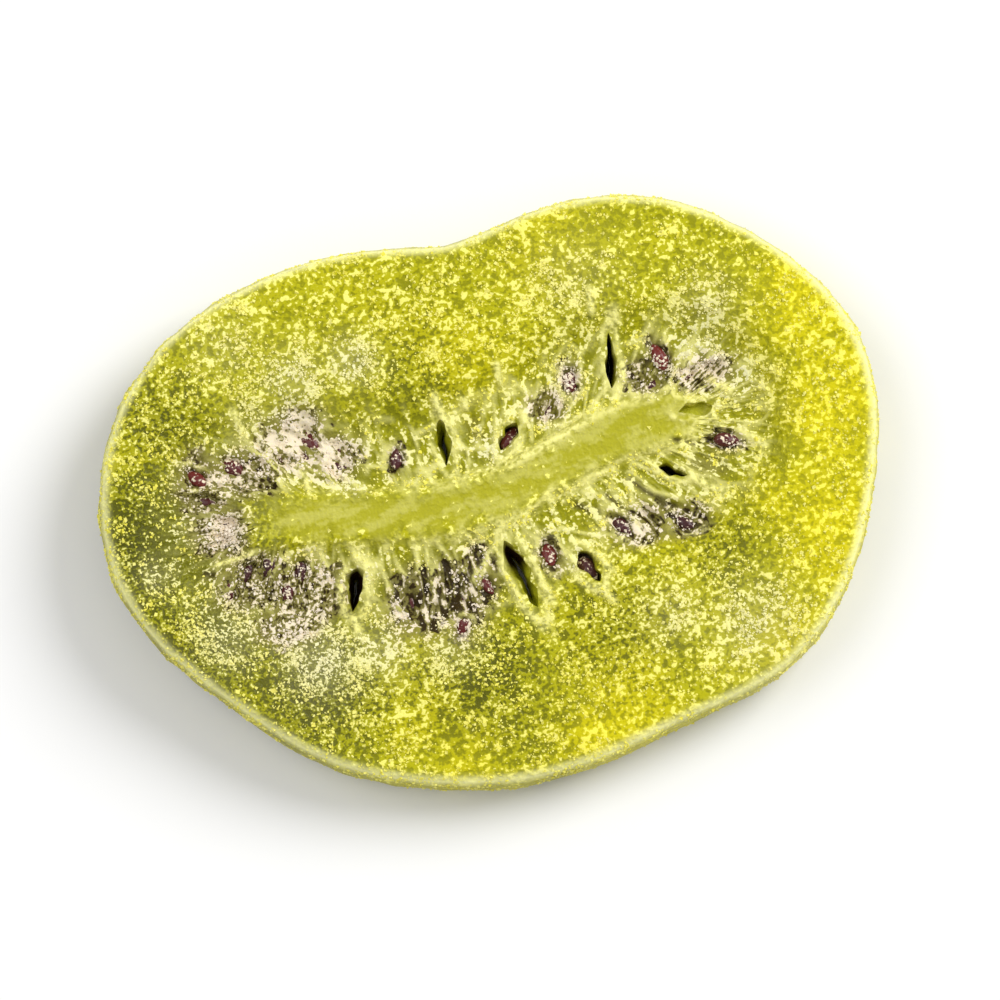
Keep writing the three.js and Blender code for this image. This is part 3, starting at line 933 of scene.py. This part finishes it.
bpy.ops.object.select_all(action="DESELECT")
bpy.ops.mesh.primitive_uv_sphere_add(segments=16, ring_count=10, radius=0.5, rotation=(0, -math.pi / 2, 0))
pattern = bpy.context.object
bpy.ops.object.transform_apply(location=True, rotation=True, scale=True)
seed_points = bare_points(pattern.data)
slender = 1 - 0.45 * (seed_points[:, 0] + 0.5) ** 2
seed_points[:, 0] *= SEED_LENGTH
seed_points[:, 1] *= SEED_WIDTH * slender
seed_points[:, 2] *= SEED_THICKNESS * slender
pattern.data.vertices.foreach_set("co", seed_points.ravel())
bpy.ops.object.shade_smooth()

draw = np.random.default_rng(7)
seed_copies = []
for seed, upper in [(s, True) for s in upper_seeds + PIT_SEEDS] + [(s, False) for s in lower_seeds]:
    seed_x, seed_y, degrees, size, redness = seed
    start = Vector(((seed_x - MIDDLE_X) * MM, (seed_y - MIDDLE_Y) * MM, 0.02 if upper else -0.02))
    found, hit, _, _ = flesh.ray_cast(start, Vector((0, 0, -1 if upper else 1)))
    if not found:
        continue
    copy = pattern.copy()
    copy.data = pattern.data.copy()
    bpy.context.collection.objects.link(copy)
    turn = math.radians(degrees)
    tilt = draw.uniform(-SEED_TILT, SEED_TILT)
    local = seed_points * size * (1 + 0.10 * wobble(seed_points + seed_x, 0.6)[:, None])
    turned = np.empty_like(local)
    turned[:, 0] = local[:, 0] * math.cos(turn) - local[:, 1] * math.sin(turn)
    turned[:, 1] = local[:, 0] * math.sin(turn) + local[:, 1] * math.cos(turn)
    turned[:, 2] = local[:, 2] * math.cos(tilt) + local[:, 0] * math.sin(tilt)
    showing = draw.uniform(SUNK_MOST, SUNK_LEAST)
    if seed in NOTED_SEEDS:
        showing = NOTED_SHOWING
    if seed in PIT_SEEDS:
        showing = PIT_SHOWING
    turned[:, 2] += hit.z / MM + (showing if upper else -showing)
    turned[:, 2] = np.maximum(turned[:, 2], 0)
    write_points(copy.data, turned + (seed_x, seed_y, 0))
    write_mask(copy.data, "redness", np.full(len(turned), redness))
    seed_copies.append(copy)
bpy.data.objects.remove(pattern)

bpy.ops.object.select_all(action="DESELECT")
for copy in seed_copies:
    copy.select_set(True)
bpy.context.view_layer.objects.active = seed_copies[0]
bpy.ops.object.join()
seeds = bpy.context.object
seeds.name = "seeds"
seeds.data.name = "seeds"

SEED_VIOLET = (0.040, 0.016, 0.018, 1)
SEED_MAROON = (0.170, 0.022, 0.016, 1)
SEED_MAUVE = (0.300, 0.190, 0.160, 1)
seed_finish, tree, shader = new_material("seed_coat")
where = place(tree, "ShaderNodeTexCoord").outputs["Object"]
flecks, gaps, height = frosted(tree, where, -0.015, 1.5, 0.0)
colour = blended(tree, mask_of(tree, "redness"), SEED_VIOLET, SEED_MAROON)
colour = blended(tree, between(tree, height, 0.50, 0.57, 0.0, 0.45), colour, SEED_MAUVE)
colour = blended(tree, flecks, colour, PULP_FROST)
tree.links.new(colour, shader.inputs["Base Color"])
tree.links.new(between(tree, flecks, 0, 1, 0.28, 0.6), shader.inputs["Roughness"])
bump = place(tree, "ShaderNodeBump", {"Strength": 0.5, "Distance": 0.15 * MM, "Height": height})
tree.links.new(bump.outputs[0], shader.inputs["Normal"])
shader.inputs["Specular IOR Level"].default_value = 0.25
seeds.data.materials.clear()
seeds.data.materials.append(seed_finish)

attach(seeds, "root")
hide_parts("kiwi_slice")


# ---- The sugar -------------------------------------------------------------------------------------------
# Fine sugar crystals, half dissolved and stuck to the flesh, thickest in drifts and over the chambers.
# Each grain is a small block knocked out of shape, and all the grains of a face are one joined mesh.

GRAIN_SIZES = (0.07, 0.20)
UPPER_GRAINS = 15000
LOWER_GRAINS = 6000
GRAIN_SUNK = 0.25  # share of its size by which a grain sits in the flesh
UPPER_BAND = 1.2  # sugar counts as lying on top from this far above the middle of the slice


def surface_triangles(piece):
    mesh = piece.data
    mesh.calc_loop_triangles()
    corners = np.empty(len(mesh.loop_triangles) * 3, np.int32)
    mesh.loop_triangles.foreach_get("vertices", corners)
    return read_points(mesh)[corners.reshape(-1, 3)]


def random_turns(count):
    """Evenly spread random rotations, as one 3 by 3 matrix for each grain."""
    quaternions = draw.normal(size=(count, 4))
    quaternions /= np.linalg.norm(quaternions, axis=1)[:, None]
    a, b, c, d = quaternions.T
    rows = [
        [a * a + b * b - c * c - d * d, 2 * (b * c - a * d), 2 * (b * d + a * c)],
        [2 * (b * c + a * d), a * a - b * b + c * c - d * d, 2 * (c * d - a * b)],
        [2 * (b * d - a * c), 2 * (c * d + a * b), a * a - b * b - c * c + d * d],
    ]
    return np.array(rows).transpose(2, 0, 1)


def sprinkle(name, triangles, likelihood, count):
    """One mesh of this many grains on the triangles, more of them where the likelihood is high."""
    sides = np.cross(triangles[:, 1] - triangles[:, 0], triangles[:, 2] - triangles[:, 0])
    areas = np.linalg.norm(sides, axis=1) / 2
    outwards = sides / np.maximum(areas[:, None] * 2, 1e-9)
    weight = areas * likelihood
    chosen = draw.choice(len(triangles), size=count, p=weight / weight.sum())
    first, second = draw.random((2, count))
    over = first + second > 1
    first[over] = 1 - first[over]
    second[over] = 1 - second[over]
    corners = triangles[chosen]
    place_on = corners[:, 0] + first[:, None] * (corners[:, 1] - corners[:, 0])
    place_on += second[:, None] * (corners[:, 2] - corners[:, 0])
    sizes = GRAIN_SIZES[0] + (GRAIN_SIZES[1] - GRAIN_SIZES[0]) * draw.random(count) ** 2
    place_on -= outwards[chosen] * sizes[:, None] * GRAIN_SUNK

    bpy.ops.object.select_all(action="DESELECT")
    bpy.ops.mesh.primitive_cube_add(size=1)
    block = bpy.context.object
    block_points = np.array([v.co for v in block.data.vertices])
    block_faces = np.array([list(f.vertices) for f in block.data.polygons])
    bpy.data.objects.remove(block)
    knocked = block_points + draw.uniform(-0.22, 0.22, (count, 8, 3))
    knocked *= draw.uniform(0.7, 1.3, (count, 1, 3)) * sizes[:, None, None]
    turned = np.einsum("nij,nkj->nki", random_turns(count), knocked) + place_on[:, None, :]
    turned[:, :, 2] = np.maximum(turned[:, :, 2], 0)
    grains = bpy.data.meshes.new(name)
    every_face = (block_faces[None] + np.arange(count)[:, None, None] * 8).reshape(-1, 4)
    grains.from_pydata(np.zeros((count * 8, 3)).tolist(), [], every_face.tolist())
    write_points(grains, turned.reshape(-1, 3))
    x, y, _ = place_on.T
    write_mask(grains, "shade", np.repeat(draw.random(count), 8))
    write_mask(grains, "drift", np.repeat(spread_of(SUGAR_DRIFTS, x, y), 8))
    write_mask(grains, "stain", np.repeat(smooth(dark_pulp(x, y), 0.1, 0.7), 8))
    piece = bpy.data.objects.new(name, grains)
    bpy.context.collection.objects.link(piece)
    return piece


def sugar_likelihood(triangles):
    middle = triangles.mean(axis=1)
    x, y, z = middle.T
    away = away_from_core(x, y)
    level = 0.5 + 1.0 * spread_of(SUGAR_DRIFTS, x, y) - 0.2 * dark_pulp(x, y)
    level *= 0.04 + 0.96 * smooth(away, 1.0, 2.4)
    level *= 1 - 0.7 * spread_of(BARE_SPOTS, x, y)
    level *= 0.15 + 1.5 * smooth(wobble(middle, 1.4), -0.2, 0.45)
    inside = np.zeros_like(x)
    for split in SPLITS:
        inside = np.maximum(inside, split_distance(x, y, split, 0.1) < 1.15)
    return level * (1 - inside)


every_triangle = np.concatenate([surface_triangles(flesh), surface_triangles(seeds)])
centres = every_triangle.mean(axis=1)
halfway = (upper_face(centres[:, 0], centres[:, 1]) + lower_face(centres[:, 0], centres[:, 1])) / 2
is_upper = centres[:, 2] > halfway + UPPER_BAND
upper_triangles = every_triangle[is_upper]
other_triangles = every_triangle[~is_upper]
upper_sugar = sprinkle("sugar_on_top", upper_triangles, sugar_likelihood(upper_triangles), UPPER_GRAINS)
other_sugar = sprinkle("sugar_below", other_triangles, sugar_likelihood(other_triangles), LOWER_GRAINS)

SUGAR_YELLOW = (0.800, 0.730, 0.060, 1)
SUGAR_CREAM = (0.880, 0.830, 0.220, 1)
SUGAR_FROSTED = (0.860, 0.820, 0.480, 1)
SUGAR_PINK = (0.840, 0.740, 0.600, 1)
sugar_finish, tree, shader = new_material("sugar_crystal")
colour = blended(tree, mask_of(tree, "shade"), SUGAR_YELLOW, SUGAR_CREAM)
colour = blended(tree, mask_of(tree, "drift"), colour, SUGAR_FROSTED)
colour = blended(tree, mask_of(tree, "stain"), colour, SUGAR_PINK)
tree.links.new(colour, shader.inputs["Base Color"])
shader.inputs["Roughness"].default_value = 0.45
shader.inputs["Specular IOR Level"].default_value = 0.3
for sugar in (upper_sugar, other_sugar):
    sugar.data.materials.append(sugar_finish)
    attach(sugar, "root")
    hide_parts("kiwi_slice")


# ---- The floor, the light and the camera -----------------------------------------------------------------
# A plain pale floor under a soft white light, as on a photographer's light table.
# The camera looks almost straight down, with the right end of the slice turned up in the picture.

bpy.ops.object.select_all(action="DESELECT")
bpy.ops.mesh.primitive_plane_add(size=4, location=(0, 0, 0))
floor = bpy.context.object
floor.name = "floor"
floor_finish, tree, shader = new_material("pale_floor")
shader.inputs["Base Color"].default_value = (0.90, 0.90, 0.895, 1)
shader.inputs["Roughness"].default_value = 0.6
floor.data.materials.append(floor_finish)

CAMERA_TURN = math.radians(-17)
CAMERA_HEIGHT = math.radians(83)
CAMERA_AWAY = 0.40
VIEW_WIDTH = 0.066
SENSOR = 36.0

picture_right = Vector((math.cos(CAMERA_TURN), math.sin(CAMERA_TURN), 0))
picture_up = Vector((-math.sin(CAMERA_TURN), math.cos(CAMERA_TURN), 0))
aim = Vector((0, 0, 2.5 * MM))


def soft_light(name, rightwards, upwards, height, size, power):
    panel = bpy.data.lights.new(name, "AREA")
    panel.shape = "DISK"
    panel.size = size
    panel.energy = power
    lamp = bpy.data.objects.new(name, panel)
    lamp.location = picture_right * rightwards + picture_up * upwards + Vector((0, 0, height))
    lamp.rotation_euler = (aim - lamp.location).to_track_quat("-Z", "Y").to_euler()
    bpy.context.collection.objects.link(lamp)
    return lamp


soft_light("key", 0.42, 0.28, 0.46, 0.40, 3.5)
soft_light("fill", -0.40, 0.10, 0.60, 0.50, 1.5)

world = bpy.context.scene.world or bpy.data.worlds.new("studio")
bpy.context.scene.world = world
world.use_nodes = True
world.node_tree.nodes["Background"].inputs["Color"].default_value = (1, 1, 1, 1)
world.node_tree.nodes["Background"].inputs["Strength"].default_value = 0.50

lens = bpy.data.cameras.new("camera")
lens.sensor_width = SENSOR
lens.lens = SENSOR * CAMERA_AWAY / VIEW_WIDTH
lens.clip_start = 0.01
camera = bpy.data.objects.new("camera", lens)
flat_away = CAMERA_AWAY * math.cos(CAMERA_HEIGHT)
camera.location = aim - picture_up * flat_away + Vector((0, 0, CAMERA_AWAY * math.sin(CAMERA_HEIGHT)))
camera.rotation_euler = (aim - camera.location).to_track_quat("-Z", "Y").to_euler()
bpy.context.collection.objects.link(camera)
bpy.context.scene.camera = camera
bpy.context.scene.view_settings.view_transform = "Standard"
